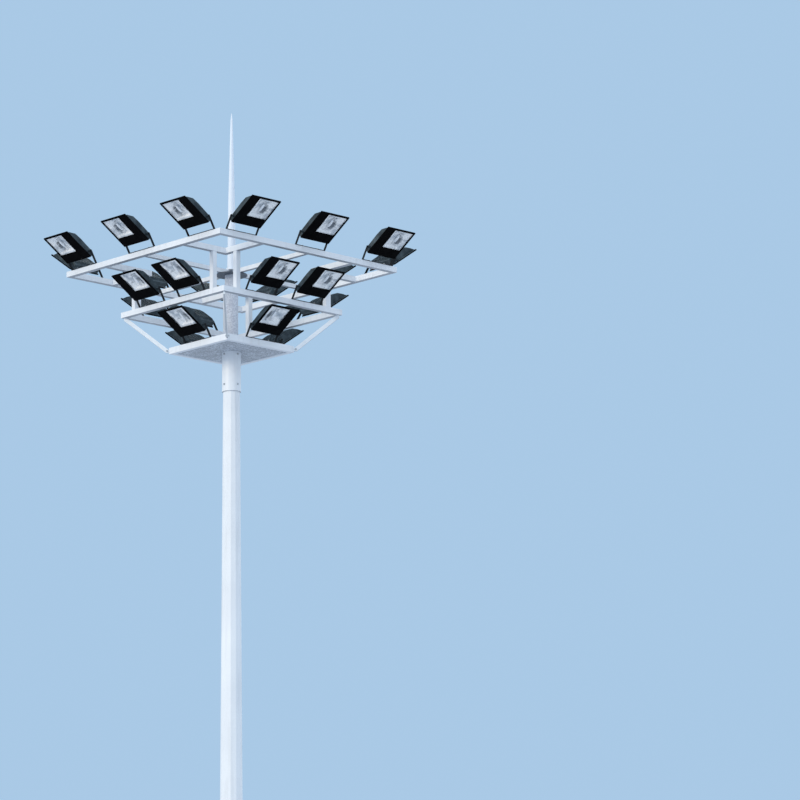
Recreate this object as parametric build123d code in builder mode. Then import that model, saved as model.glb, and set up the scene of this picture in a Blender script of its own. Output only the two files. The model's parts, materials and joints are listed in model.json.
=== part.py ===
from build123d import *
import os
from math import atan2, cos, degrees, radians, sin

os.makedirs("parts", exist_ok=True)

# High mast floodlight tower, 20 m to the underside of its head.
# Millimetres, +Z up, origin at the centre of the base flange's underside.
# The front of the head faces -Y, its right side faces +X.

# Mast shaft: two tapered twelve-sided shells, the upper one slipped over the lower
MAST_SIDES = 12
MAST_HEIGHT = 20000
MAST_BASE_ACROSS = 485
MAST_TOP_ACROSS = 238
LOWER_WALL = 7
UPPER_WALL = 5
SLIP_TOP_HEIGHT = 10500
SLIP_LENGTH = 650
SLIP_CLEARANCE = 0.3

# Base flange with its anchor holes and stiffeners
FLANGE_ACROSS = 820
FLANGE_THICKNESS = 30
CABLE_OPENING_ACROSS = 320
ANCHOR_PCD = 700
ANCHOR_COUNT = 12
ANCHOR_HOLE_DIAMETER = 39
GUSSET_HEIGHT = 260
GUSSET_THICKNESS = 12
GUSSET_EDGE_INSET = 15
GUSSET_TIP = 25

# Service door near the foot, on the front flat
DOOR_SILL_HEIGHT = 750
DOOR_HEIGHT = 560
DOOR_WIDTH = 104
DOOR_THICKNESS = 4
DOOR_FRAME_MARGIN = 7
DOOR_FRAME_DEPTH = 5
DOOR_CORNER = 16
DOOR_FRAME_CORNER = 20
DOOR_OPENING_CORNER = 12

# Head sleeve over the mast top
SLEEVE_LENGTH = 575
SLEEVE_DIAMETER = 273
SLEEVE_WALL = 10

# Square tiers of the head, outer sides
TUBE = 80
TUBE_WALL = 4
TOP_SIDE = 3400
MIDDLE_SIDE = 2272
PLATFORM_SIDE = 1284
MIDDLE_RISE = 545
TOP_RISE = 624

# Platform at the bottom of the head
PLATFORM_RIM_HEIGHT = 92
PLATFORM_LIP_WIDTH = 70
PLATFORM_STEEL = 6
FLOOR_THICKNESS = 8

# Inner members of the head
POST_INSET = 276
POST_TUBE = 72
CROSS_TUBE = 60
POLE_DIAMETER = 194
POLE_WALL = 8
HUB_DIAMETER = 460
HUB_THICKNESS = 14
STRUT_WIDTH = 40
STRUT_THICKNESS = 25
STRUT_WALL = 3
STRUT_HEAD_INSET = 45
STRUT_FOOT_RISE = 20

# Lightning spike
SPIKE_FLANGE_DIAMETER = 200
SPIKE_WALL = 5
SPIKE_SIDES = 16
SPIKE_FLANGE_THICKNESS = 16
SPIKE_FOOT_DIAMETER = 126
SPIKE_WAIST_DIAMETER = 96
SPIKE_NECK_DIAMETER = 32
SPIKE_TIP_DIAMETER = 8
SPIKE_WAIST_HEIGHT = 1130
SPIKE_NECK_HEIGHT = 2330
SPIKE_TIP_HEIGHT = 2440

# Floodlight head, measured from its pivot along and behind the lamp face
HEAD_WALL = 5
FACE_WIDTH = 530
FACE_LENGTH = 530
FACE_TILT = 33.5
FACE_TO_PIVOT = 76
PIVOT_TO_FACE_END = 476
BEZEL_DEPTH = 14
HOUSING_WIDTH = 450
HOUSING_BROW = (416, -13)
HOUSING_SHOULDER = (326, 43)
HOUSING_FLAT = (206, 51)
HOUSING_BACK = (-24, 45)
HOUSING_TAIL = (-84, 17)
HOUSING_HEEL = (-80, -36)
RIB_COUNT = 6
RIB_THICKNESS = 8
RIB_RISE = 12
WINDOW_BEZEL = 20
WINDOW_WIDTH = 356
WINDOW_LENGTH = 352
GLASS_REBATE = 10
REFLECTOR_LIP = 33
REFLECTOR_DEPTH = 50
REFLECTOR_TAPER = 30
BOSS_ACROSS = 28
BOSS_SIDES = 8
BOSS_CLEARANCE = 0.3

# Yoke of a floodlight
YOKE_STRAP = 6
YOKE_STRAP_WIDTH = 36
YOKE_OVERHANG = 10
YOKE_CLEARANCE = 6
YOKE_EAR_SIDES = 8
PIVOT_OUT = 135
PIVOT_RISE = 178

# Distance of the outer floodlights from the ends of a side
TOP_LIGHT_INSET = 400
MIDDLE_LIGHT_INSET = 696

# Levels that follow from the sizes above
PLATFORM_Z = MAST_HEIGHT
MIDDLE_Z = PLATFORM_Z + MIDDLE_RISE
TOP_Z = MIDDLE_Z + TOP_RISE
FLOOR_Z = PLATFORM_Z + PLATFORM_STEEL
PLATFORM_TOP_Z = PLATFORM_Z + PLATFORM_RIM_HEIGHT
HUB_Z = TOP_Z - HUB_THICKNESS
CORNER_BEAM_OFFSET = MIDDLE_SIDE / 2 - POST_INSET
SIDE_NAMES = ["front", "right", "back", "left"]


def finish(builder, name):
    """Name a finished piece and write its file."""
    builder.part.label = name
    export_step(builder.part, f"parts/{name}.step")


def upper_radius(height):
    """Corner radius of the upper section's outside at a height, one even taper."""
    share = height / MAST_HEIGHT
    return (MAST_BASE_ACROSS + (MAST_TOP_ACROSS - MAST_BASE_ACROSS) * share) / 2


def lower_radius(height):
    """Corner radius of the lower section's outside, which slips inside the upper one."""
    return upper_radius(height) - UPPER_WALL - SLIP_CLEARANCE / cos(radians(180 / MAST_SIDES))


def flat_radius(corner_radius):
    """Distance from the axis to the middle of a flat."""
    return corner_radius * cos(radians(180 / MAST_SIDES))


def side_plane(side_index, along, half_side, height):
    """Plane on top of a tier's tube: x runs along the tube, y points inward."""
    turn = Rotation(0, 0, 90 * side_index)
    spot = Pos(along, -(half_side - TUBE / 2), height)
    return Plane(turn * spot)


# Mast sections: each shell's outside first, then its bore
SHAFT_TURN = 90 + 180 / MAST_SIDES
SHAFT_TAPER = degrees(atan2(flat_radius(MAST_BASE_ACROSS - MAST_TOP_ACROSS) / 2, MAST_HEIGHT))
SLIP_START = SLIP_TOP_HEIGHT - SLIP_LENGTH
with BuildPart() as mast_lower:
    for wall, mode in ((0, Mode.ADD), (LOWER_WALL, Mode.SUBTRACT)):
        with BuildSketch(Plane.XY.offset(FLANGE_THICKNESS)):
            RegularPolygon(lower_radius(FLANGE_THICKNESS) - wall, MAST_SIDES, rotation=SHAFT_TURN)
        extrude(amount=SLIP_TOP_HEIGHT - FLANGE_THICKNESS, taper=SHAFT_TAPER, mode=mode)
finish(mast_lower, "mast_lower")

with BuildPart() as mast_upper:
    for wall, mode in ((0, Mode.ADD), (UPPER_WALL, Mode.SUBTRACT)):
        with BuildSketch(Plane.XY.offset(SLIP_START)):
            RegularPolygon(upper_radius(SLIP_START) - wall, MAST_SIDES, rotation=SHAFT_TURN)
        extrude(amount=FLOOR_Z - SLIP_START, taper=SHAFT_TAPER, mode=mode)
finish(mast_upper, "mast_upper")

# Base flange, twelve-sided like the shaft, with a flat under each stiffener
with BuildPart() as base_flange:
    with BuildSketch():
        RegularPolygon(FLANGE_ACROSS / 2, MAST_SIDES, major_radius=False, rotation=SHAFT_TURN)
        RegularPolygon(CABLE_OPENING_ACROSS / 2, MAST_SIDES, major_radius=False, rotation=SHAFT_TURN,
                       mode=Mode.SUBTRACT)
        with PolarLocations(ANCHOR_PCD / 2, ANCHOR_COUNT, start_angle=180 / ANCHOR_COUNT):
            Circle(ANCHOR_HOLE_DIAMETER / 2, mode=Mode.SUBTRACT)
    extrude(amount=FLANGE_THICKNESS)
finish(base_flange, "base_flange")

# Base stiffeners stand on the flats between the anchor holes
foot_flat = flat_radius(lower_radius(FLANGE_THICKNESS))
head_flat = flat_radius(lower_radius(FLANGE_THICKNESS + GUSSET_HEIGHT))
gusset_reach = FLANGE_ACROSS / 2 - GUSSET_EDGE_INSET
with BuildPart() as base_gussets:
    for index in range(ANCHOR_COUNT):
        with BuildSketch(Plane.XZ.rotated((0, 0, index * 360 / ANCHOR_COUNT))):
            with BuildLine():
                Polyline(
                    (foot_flat, FLANGE_THICKNESS),
                    (gusset_reach, FLANGE_THICKNESS),
                    (gusset_reach, FLANGE_THICKNESS + GUSSET_TIP),
                    (head_flat + GUSSET_TIP, FLANGE_THICKNESS + GUSSET_HEIGHT),
                    (head_flat, FLANGE_THICKNESS + GUSSET_HEIGHT),
                    close=True,
                )
            make_face()
        extrude(amount=GUSSET_THICKNESS / 2, both=True)
finish(base_gussets, "base_gussets")

# Service door and its frame on the front flat, which leans with the taper
door_middle = DOOR_SILL_HEIGHT + DOOR_HEIGHT / 2
lean = flat_radius(MAST_BASE_ACROSS - MAST_TOP_ACROSS) / 2 / MAST_HEIGHT
door_plane = Plane(
    origin=(0, -flat_radius(lower_radius(door_middle)), door_middle),
    x_dir=(1, 0, 0),
    z_dir=(0, -1, lean),
)
with BuildPart() as door_frame:
    with BuildSketch(door_plane):
        RectangleRounded(DOOR_WIDTH + 2 * DOOR_FRAME_MARGIN, DOOR_HEIGHT + 2 * DOOR_FRAME_MARGIN,
                         DOOR_FRAME_CORNER)
        RectangleRounded(DOOR_WIDTH - 2 * DOOR_FRAME_MARGIN, DOOR_HEIGHT - 2 * DOOR_FRAME_MARGIN,
                         DOOR_OPENING_CORNER, mode=Mode.SUBTRACT)
    extrude(amount=DOOR_FRAME_DEPTH)
finish(door_frame, "door_frame")

with BuildPart() as service_door:
    with BuildSketch(door_plane.offset(DOOR_FRAME_DEPTH)):
        RectangleRounded(DOOR_WIDTH, DOOR_HEIGHT, DOOR_CORNER)
    extrude(amount=DOOR_THICKNESS)
finish(service_door, "service_door")

# Head sleeve
with BuildPart() as head_sleeve:
    with BuildSketch(Plane.XY.offset(FLOOR_Z)):
        Circle(SLEEVE_DIAMETER / 2)
        Circle(SLEEVE_DIAMETER / 2 - SLEEVE_WALL, mode=Mode.SUBTRACT)
    extrude(amount=-SLEEVE_LENGTH - PLATFORM_STEEL)
finish(head_sleeve, "head_sleeve")

# Platform rim: a channel bent round the square, open inward
with BuildPart() as platform_rim:
    with BuildSketch(Plane.XY.offset(PLATFORM_Z)):
        Rectangle(PLATFORM_SIDE, PLATFORM_SIDE)
        Rectangle(PLATFORM_SIDE - 2 * PLATFORM_LIP_WIDTH, PLATFORM_SIDE - 2 * PLATFORM_LIP_WIDTH,
                  mode=Mode.SUBTRACT)
    extrude(amount=PLATFORM_RIM_HEIGHT)
    with BuildSketch(Plane.XY.offset(FLOOR_Z)):
        Rectangle(PLATFORM_SIDE - 2 * PLATFORM_STEEL, PLATFORM_SIDE - 2 * PLATFORM_STEEL)
        Rectangle(PLATFORM_SIDE - 2 * PLATFORM_LIP_WIDTH, PLATFORM_SIDE - 2 * PLATFORM_LIP_WIDTH,
                  mode=Mode.SUBTRACT)
    extrude(amount=PLATFORM_RIM_HEIGHT - 2 * PLATFORM_STEEL, mode=Mode.SUBTRACT)
finish(platform_rim, "platform_rim")

with BuildPart() as platform_floor:
    with BuildSketch(Plane.XY.offset(FLOOR_Z)):
        Rectangle(PLATFORM_SIDE - 2 * PLATFORM_STEEL, PLATFORM_SIDE - 2 * PLATFORM_STEEL)
    extrude(amount=FLOOR_THICKNESS)
finish(platform_floor, "platform_floor")

# Central pole from the floor to the hub plate, a tube with closed ends
pole_foot = FLOOR_Z + FLOOR_THICKNESS
with BuildPart() as head_pole:
    with BuildSketch(Plane.XY.offset(pole_foot)):
        Circle(POLE_DIAMETER / 2)
    extrude(amount=HUB_Z - pole_foot)
    with BuildSketch(Plane.XY.offset(pole_foot + POLE_WALL)):
        Circle(POLE_DIAMETER / 2 - POLE_WALL)
    extrude(amount=HUB_Z - pole_foot - 2 * POLE_WALL, mode=Mode.SUBTRACT)
finish(head_pole, "head_pole")

with BuildPart() as hub_plate:
    with BuildSketch(Plane.XY.offset(HUB_Z)):
        Circle(HUB_DIAMETER / 2)
    extrude(amount=HUB_THICKNESS)
finish(hub_plate, "hub_plate")

# Square tubes of the head, each with closed ends: outside first, then its bore
def tube_sides(length, side, wall):
    """Length and width of a tube's outside and of its bore."""
    return ((length, side, 0, Mode.ADD), (length - 2 * wall, side - 2 * wall, wall, Mode.SUBTRACT))


# Top frame: four mitred tubes
for side_index, side_name in enumerate(SIDE_NAMES):
    side_turn = (0, 0, 90 * side_index)
    with BuildPart() as top_tube:
        for length, width, inset, mode in tube_sides(TOP_SIDE, TUBE, TUBE_WALL):
            with BuildSketch(Plane.XY.offset(TOP_Z + inset).rotated(side_turn)):
                with Locations((0, -(TOP_SIDE - TUBE) / 2)):
                    Trapezoid(length - inset * 2 ** 1.5, width, 45)
            extrude(amount=width, mode=mode)
    finish(top_tube, f"top_tube_{side_name}")

# Cross beams from the middles of the top frame's sides, which meet over the hub plate
frame_inner = TOP_SIDE / 2 - TUBE
with BuildPart() as long_cross_beam:
    for length, width, inset, mode in tube_sides(2 * frame_inner, CROSS_TUBE, TUBE_WALL):
        with BuildSketch(Plane.XY.offset(TOP_Z + inset)):
            Rectangle(length, width)
        extrude(amount=width, mode=mode)
finish(long_cross_beam, "long_cross_beam")

half_beam = frame_inner - CROSS_TUBE / 2
with BuildPart() as short_cross_beams:
    for length, width, inset, mode in tube_sides(half_beam, CROSS_TUBE, TUBE_WALL):
        with BuildSketch(Plane.XY.offset(TOP_Z + inset)):
            with Locations((0, frame_inner - half_beam / 2), (0, half_beam / 2 - frame_inner)):
                Rectangle(width, length)
        extrude(amount=width, mode=mode)
finish(short_cross_beams, "short_cross_beams")

# Corner beams of the top frame: an angle of two tubes in each corner
outer_beam = frame_inner - CORNER_BEAM_OFFSET + TUBE / 2
inner_beam = outer_beam - TUBE
outer_middle = frame_inner - outer_beam / 2
inner_middle = frame_inner - inner_beam / 2
with BuildPart() as corner_beams_long:
    for length, width, inset, mode in tube_sides(outer_beam, TUBE, TUBE_WALL):
        with BuildSketch(Plane.XY.offset(TOP_Z + inset)):
            with GridLocations(2 * CORNER_BEAM_OFFSET, 2 * outer_middle, 2, 2):
                Rectangle(width, length)
        extrude(amount=width, mode=mode)
finish(corner_beams_long, "corner_beams_long")

with BuildPart() as corner_beams_short:
    for length, width, inset, mode in tube_sides(inner_beam, TUBE, TUBE_WALL):
        with BuildSketch(Plane.XY.offset(TOP_Z + inset)):
            with GridLocations(2 * inner_middle, 2 * CORNER_BEAM_OFFSET, 2, 2):
                Rectangle(length, width)
        extrude(amount=width, mode=mode)
finish(corner_beams_short, "corner_beams_short")

# Middle frame: two full tubes with two between them
with BuildPart() as middle_tubes_long:
    for length, width, inset, mode in tube_sides(MIDDLE_SIDE, TUBE, TUBE_WALL):
        with BuildSketch(Plane.XY.offset(MIDDLE_Z + inset)):
            with GridLocations(0, MIDDLE_SIDE - TUBE, 1, 2):
                Rectangle(length, width)
        extrude(amount=width, mode=mode)
finish(middle_tubes_long, "middle_tubes_long")

with BuildPart() as middle_tubes_short:
    for length, width, inset, mode in tube_sides(MIDDLE_SIDE - 2 * TUBE, TUBE, TUBE_WALL):
        with BuildSketch(Plane.XY.offset(MIDDLE_Z + inset)):
            with GridLocations(MIDDLE_SIDE - TUBE, 0, 2, 1):
                Rectangle(width, length)
        extrude(amount=width, mode=mode)
finish(middle_tubes_short, "middle_tubes_short")

# Posts between the middle frame and the corner beams above it
post_line = (MIDDLE_SIDE - TUBE) / 2
post_foot = MIDDLE_Z + TUBE
with BuildPart() as frame_posts:
    for side, foot, top, mode in (
        (POST_TUBE, post_foot, TOP_Z, Mode.ADD),
        (POST_TUBE - 2 * TUBE_WALL, post_foot + TUBE_WALL, TOP_Z - TUBE_WALL, Mode.SUBTRACT),
    ):
        with BuildSketch(Plane.XY.offset(foot)):
            for side_index in range(4):
                with Locations(Rotation(0, 0, 90 * side_index)):
                    with Locations((CORNER_BEAM_OFFSET, -post_line), (-CORNER_BEAM_OFFSET, -post_line)):
                        Rectangle(side, side)
        extrude(amount=top - foot, mode=mode)
finish(frame_posts, "frame_posts")

# Struts from the middle frame's corners down to the platform's corners: closed flat tubes,
# each with a foot notched round the corner that it meets
strut_top = MIDDLE_SIDE / 2 * 2 ** 0.5 - STRUT_HEAD_INSET
strut_foot = PLATFORM_SIDE / 2 * 2 ** 0.5
strut_foot_z = PLATFORM_Z + STRUT_FOOT_RISE
with BuildSketch() as strut_profile:
    with BuildLine():
        Polyline(
            (strut_foot, strut_foot_z),
            (strut_foot + STRUT_WIDTH, strut_foot_z),
            (strut_top, MIDDLE_Z - STRUT_WIDTH),
            (strut_top, MIDDLE_Z),
            (strut_top - STRUT_WIDTH, MIDDLE_Z),
            (strut_foot, strut_foot_z + STRUT_WIDTH),
            close=True,
        )
    make_face()

with BuildPart() as corner_struts:
    for side_index in range(4):
        with BuildSketch(Plane.XZ.rotated((0, 0, 45 + 90 * side_index))):
            add(strut_profile.sketch_local)
            with Locations((strut_foot, strut_foot_z)):
                Rectangle(STRUT_THICKNESS, STRUT_WIDTH, align=(Align.CENTER, Align.MIN))
        extrude(amount=STRUT_THICKNESS / 2, both=True)
    for side_index in range(4):
        with BuildSketch(Plane.XZ.rotated((0, 0, 45 + 90 * side_index))):
            add(strut_profile.sketch_local)
            offset(amount=-STRUT_WALL, kind=Kind.INTERSECTION, mode=Mode.REPLACE)
        extrude(amount=STRUT_THICKNESS / 2 - STRUT_WALL, both=True, mode=Mode.SUBTRACT)
    with BuildSketch(Plane.XY.offset(PLATFORM_Z)):
        Rectangle(PLATFORM_SIDE, PLATFORM_SIDE)
    extrude(amount=PLATFORM_RIM_HEIGHT, mode=Mode.SUBTRACT)
finish(corner_struts, "corner_struts")

# Lightning spike on the cross of the beams: three tapered stages, hollow below its neck
spike_seat = TOP_Z + CROSS_TUBE
spike_foot = spike_seat + SPIKE_FLANGE_THICKNESS
spike_waist = TOP_Z + SPIKE_WAIST_HEIGHT
spike_neck = TOP_Z + SPIKE_NECK_HEIGHT
spike_tip = TOP_Z + SPIKE_TIP_HEIGHT
SPIKE_STAGES = [
    (spike_foot, SPIKE_FOOT_DIAMETER / 2, spike_waist, SPIKE_WAIST_DIAMETER / 2),
    (spike_waist, SPIKE_WAIST_DIAMETER / 2, spike_neck, SPIKE_NECK_DIAMETER / 2),
    (spike_neck, SPIKE_NECK_DIAMETER / 2, spike_tip, SPIKE_TIP_DIAMETER / 2),
]
with BuildPart() as lightning_spike:
    with BuildSketch(Plane.XY.offset(spike_seat)):
        Circle(SPIKE_FLANGE_DIAMETER / 2)
    extrude(amount=SPIKE_FLANGE_THICKNESS)
    for foot, foot_radius, top, top_radius in SPIKE_STAGES:
        slope = degrees(atan2((foot_radius - top_radius) * cos(radians(180 / SPIKE_SIDES)), top - foot))
        with BuildSketch(Plane.XY.offset(foot)):
            RegularPolygon(foot_radius, SPIKE_SIDES)
        extrude(amount=top - foot, taper=slope)
    for foot, foot_radius, top, top_radius in SPIKE_STAGES[:2]:
        slope = degrees(atan2((foot_radius - top_radius) * cos(radians(180 / SPIKE_SIDES)), top - foot))
        with BuildSketch(Plane.XY.offset(foot)):
            RegularPolygon(foot_radius - SPIKE_WALL, SPIKE_SIDES)
        extrude(amount=top - foot, taper=slope, mode=Mode.SUBTRACT)
finish(lightning_spike, "lightning_spike")

# Floodlight: one head is modelled over the middle of a tube, then set on each tier
tilt = radians(FACE_TILT)
head_plane = Plane(
    origin=(0, -PIVOT_OUT, PIVOT_RISE),
    x_dir=(0, -cos(tilt), sin(tilt)),
    z_dir=(-1, 0, 0),
)
yoke_inner_half = FACE_WIDTH / 2 + YOKE_CLEARANCE
face_back = BEZEL_DEPTH - FACE_TO_PIVOT
face_near = PIVOT_TO_FACE_END - FACE_LENGTH
rebate_floor = GLASS_REBATE - FACE_TO_PIVOT
window_across = WINDOW_BEZEL + WINDOW_WIDTH / 2 - FACE_WIDTH / 2
window_along = PIVOT_TO_FACE_END - WINDOW_BEZEL - WINDOW_LENGTH / 2
mouth_width = WINDOW_WIDTH - 2 * REFLECTOR_LIP
mouth_length = WINDOW_LENGTH - 2 * REFLECTOR_LIP
face_plane = Plane(
    origin=head_plane.from_local_coords((window_along, -FACE_TO_PIVOT, -window_across)),
    x_dir=(1, 0, 0),
    z_dir=head_plane.y_dir,
)
with BuildSketch() as side_profile:
    with BuildLine():
        Polyline(
            (face_near, -FACE_TO_PIVOT),
            (PIVOT_TO_FACE_END, -FACE_TO_PIVOT),
            (PIVOT_TO_FACE_END, face_back),
            HOUSING_BROW,
            HOUSING_SHOULDER,
            HOUSING_FLAT,
            HOUSING_BACK,
            HOUSING_TAIL,
            HOUSING_HEEL,
            (face_near, face_back),
            close=True,
        )
    make_face()

# The hollow of the head runs round its reflector box and behind it
with BuildPart() as head_hollow:
    with BuildSketch(head_plane):
        add(side_profile.sketch_local)
        offset(amount=-HEAD_WALL, kind=Kind.INTERSECTION, mode=Mode.REPLACE)
        with Locations((0, rebate_floor + HEAD_WALL)):
            Rectangle(3 * FACE_LENGTH, FACE_TO_PIVOT, align=(Align.CENTER, Align.MAX), mode=Mode.SUBTRACT)
    extrude(amount=HOUSING_WIDTH / 2 - HEAD_WALL, both=True)
    with BuildSketch(face_plane.offset(GLASS_REBATE)):
        Rectangle(mouth_width + 2 * HEAD_WALL, mouth_length + 2 * HEAD_WALL)
    extrude(amount=REFLECTOR_DEPTH + HEAD_WALL, taper=REFLECTOR_TAPER, mode=Mode.SUBTRACT)

with BuildPart() as left_handed_head:
    with BuildSketch(head_plane):
        add(side_profile.sketch_local)
    extrude(amount=HOUSING_WIDTH / 2, both=True)
    with BuildSketch(head_plane):
        with BuildLine():
            Polyline(
                (face_near, -FACE_TO_PIVOT),
                (PIVOT_TO_FACE_END, -FACE_TO_PIVOT),
                (PIVOT_TO_FACE_END, face_back),
                (face_near, face_back),
                close=True,
            )
        make_face()
    extrude(amount=FACE_WIDTH / 2, both=True)
    for index in range(RIB_COUNT):
        across = (index - (RIB_COUNT - 1) / 2) * HOUSING_WIDTH / RIB_COUNT
        with BuildSketch(head_plane.offset(across)):
            with BuildLine():
                Polyline(
                    HOUSING_SHOULDER,
                    (HOUSING_FLAT[0], HOUSING_FLAT[1] + RIB_RISE),
                    (HOUSING_BACK[0], HOUSING_BACK[1] + RIB_RISE),
                    HOUSING_TAIL,
                    close=True,
                )
            make_face()
        extrude(amount=RIB_THICKNESS / 2, both=True)
    add(head_hollow.part, mode=Mode.SUBTRACT)
    with BuildSketch(face_plane):
        Rectangle(WINDOW_WIDTH, WINDOW_LENGTH)
    extrude(amount=GLASS_REBATE, mode=Mode.SUBTRACT)
    with BuildSketch(face_plane.offset(GLASS_REBATE)):
        Rectangle(mouth_width, mouth_length)
    extrude(amount=REFLECTOR_DEPTH, taper=REFLECTOR_TAPER, mode=Mode.SUBTRACT)
    boss_length = yoke_inner_half - BOSS_CLEARANCE - HOUSING_WIDTH / 2
    for hand in (1, -1):
        with BuildSketch(head_plane.offset(hand * HOUSING_WIDTH / 2)):
            RegularPolygon(BOSS_ACROSS / 2, BOSS_SIDES, major_radius=False, rotation=180 / BOSS_SIDES)
        extrude(amount=hand * boss_length)

with BuildPart() as right_handed_head:
    add(left_handed_head.part)
    mirror(about=Plane.YZ, mode=Mode.REPLACE)

# Yoke: a bent strap, its base on the outer part of the tube, with both ears at the pivot
strap_out = TUBE / 2 + YOKE_OVERHANG - YOKE_STRAP_WIDTH / 2
with BuildPart() as yoke:
    with BuildSketch(Plane.XY):
        with Locations((0, -strap_out)):
            Rectangle(2 * (yoke_inner_half + YOKE_STRAP), YOKE_STRAP_WIDTH)
    extrude(amount=YOKE_STRAP)
    for hand in (1, -1):
        ear_plane = Plane(origin=(hand * yoke_inner_half, 0, 0), x_dir=(0, hand, 0), z_dir=(hand, 0, 0))
        with BuildSketch(ear_plane):
            with Locations((-hand * PIVOT_OUT, PIVOT_RISE)):
                RegularPolygon(YOKE_STRAP_WIDTH / 2, YOKE_EAR_SIDES, rotation=180 / YOKE_EAR_SIDES)
            with Locations((-hand * strap_out, YOKE_STRAP / 2)):
                Rectangle(YOKE_STRAP_WIDTH, YOKE_STRAP)
            make_hull()
        extrude(amount=YOKE_STRAP)

top_light_end = TOP_SIDE / 2 - TOP_LIGHT_INSET
middle_light_end = MIDDLE_SIDE / 2 - MIDDLE_LIGHT_INSET
TIERS = [
    ("top", TOP_SIDE / 2, TOP_Z + TUBE, [-top_light_end, 0, top_light_end],
     (left_handed_head, right_handed_head)),
    ("middle", MIDDLE_SIDE / 2, MIDDLE_Z + TUBE, [-middle_light_end, middle_light_end],
     (right_handed_head, right_handed_head)),
    ("bottom", PLATFORM_SIDE / 2, PLATFORM_TOP_Z, [0],
     (right_handed_head, left_handed_head)),
]
for tier_name, half_side, seat_height, spots, handed_heads in TIERS:
    with BuildPart() as tier_yokes:
        for side_index in range(4):
            for along in spots:
                with Locations(side_plane(side_index, along, half_side, seat_height).location):
                    add(yoke.part)
    finish(tier_yokes, f"{tier_name}_yokes")
    for side_index, side_name in enumerate(SIDE_NAMES):
        model = handed_heads[side_index % 2]
        for number, along in enumerate(spots, start=1):
            with BuildPart() as floodlight:
                with Locations(side_plane(side_index, along, half_side, seat_height).location):
                    add(model.part)
            finish(floodlight, f"floodlight_{tier_name}_{side_name}_{number}")
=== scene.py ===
import json
from math import cos, pi, radians, sin, sqrt, tan

import bmesh
import bpy
from mathutils import Matrix, Vector


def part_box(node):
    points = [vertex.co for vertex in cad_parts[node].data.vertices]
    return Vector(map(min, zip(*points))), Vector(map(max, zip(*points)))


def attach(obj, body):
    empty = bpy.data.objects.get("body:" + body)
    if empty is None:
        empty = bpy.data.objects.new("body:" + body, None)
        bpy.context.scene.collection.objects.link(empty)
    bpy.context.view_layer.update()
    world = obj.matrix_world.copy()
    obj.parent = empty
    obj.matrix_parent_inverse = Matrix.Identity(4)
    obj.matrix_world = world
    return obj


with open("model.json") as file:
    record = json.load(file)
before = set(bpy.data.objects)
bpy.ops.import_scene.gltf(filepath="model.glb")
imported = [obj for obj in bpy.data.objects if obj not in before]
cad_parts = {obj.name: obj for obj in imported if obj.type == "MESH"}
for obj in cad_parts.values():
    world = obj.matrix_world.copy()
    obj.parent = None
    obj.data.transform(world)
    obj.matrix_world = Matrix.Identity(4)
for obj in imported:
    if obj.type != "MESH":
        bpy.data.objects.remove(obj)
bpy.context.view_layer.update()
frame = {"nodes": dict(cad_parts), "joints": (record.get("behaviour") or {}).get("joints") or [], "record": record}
nodes = frame["nodes"]
joints = frame["joints"]

# Camera at the photograph's place in metres, with its lens and sensor in millimetres
CAMERA_SPOT = Vector((38.548, -33.689, 8.353))
CAMERA_AZIMUTH = radians(48.846)
CAMERA_YAW = radians(2.7205)
CAMERA_PITCH = radians(12.068)
CAMERA_ROLL = radians(-0.546)
CAMERA_LENS = 163.07
CAMERA_SENSOR = 36

# Floodlight, measured from its pivot in metres: u across, a along the face, n out of the face.
# FACE is the n of the face's plane, and FACE_NEAR and FACE_FAR are the ends of the face in a.
FACE_TILT = radians(33.5)
FACE = 0.076
FACE_HALF = 0.265
FACE_FAR = 0.476
FACE_NEAR = FACE_FAR - 0.530
BEZEL_BACK = 0.062
HOUSING_HALF = 0.225
WINDOW_U = (-0.245, 0.111)
WINDOW_A = (0.104, 0.456)
WINDOW = ((WINDOW_U[0], WINDOW_A[0]), (WINDOW_U[1], WINDOW_A[1]))
REBATE_FLOOR = 0.066
REFLECTOR_LIP = 0.033
REFLECTOR_FLOOR = 0.016
REFLECTOR_TAPER = radians(30)

# Folds of the housing's back, in a and n, and the ribs cast across them
SHOULDER = (0.326, -0.043)
FLAT = (0.206, -0.051)
BACK = (-0.024, -0.045)
TAIL = (-0.084, -0.017)
RIB_COUNT = 6

# Yoke, measured from the pivot: how far its tube lies inward and down, and the bent strap itself
PIVOT_OUT = 0.135
PIVOT_RISE = 0.178
YOKE_OUTER_HALF = 0.277
YOKE_STRAP = 0.006
YOKE_STRAP_OUT = 0.032
YOKE_FOOT_BOLT = 0.150

# Middle of the lamp's mirror image, painted dark on the reflector, in u and a, and its reach either way
LAMP_IMAGE = (0.126, 0.252)
LAMP_IMAGE_REACH = (0.052, 0.105)

# Hands of the floodlights on a tier's front and back, and on its right and left side: 1 is left-handed
HANDS = {"top": (1, -1), "middle": (-1, -1), "bottom": (-1, 1)}

# Tower; the door leans back with the shaft, by DOOR_LEAN for each metre of height
MAST_SIDES = 12
ANCHOR_COUNT = 12
ANCHOR_RADIUS = 0.350
GUSSET_THICKNESS = 0.012
FLANGE_WELD = 0.006
GUSSET_WELD = 0.0045
DOOR_LEAN = 0.00596
DOOR_SCREW_INSET = 0.011
SET_SCREW_SINK = 0.0015
LOW_SET_SCREW_RISE = 0.100
HIGH_SET_SCREW_DROP = 0.030
STRUT_HALF = 0.0125
STRUT_BOLT_OUT = 0.024
STRUT_BOLT_RISE = 0.026
SPIKE_FLANGE = 0.016
SPIKE_BOLT_OUT = 0.082

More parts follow.
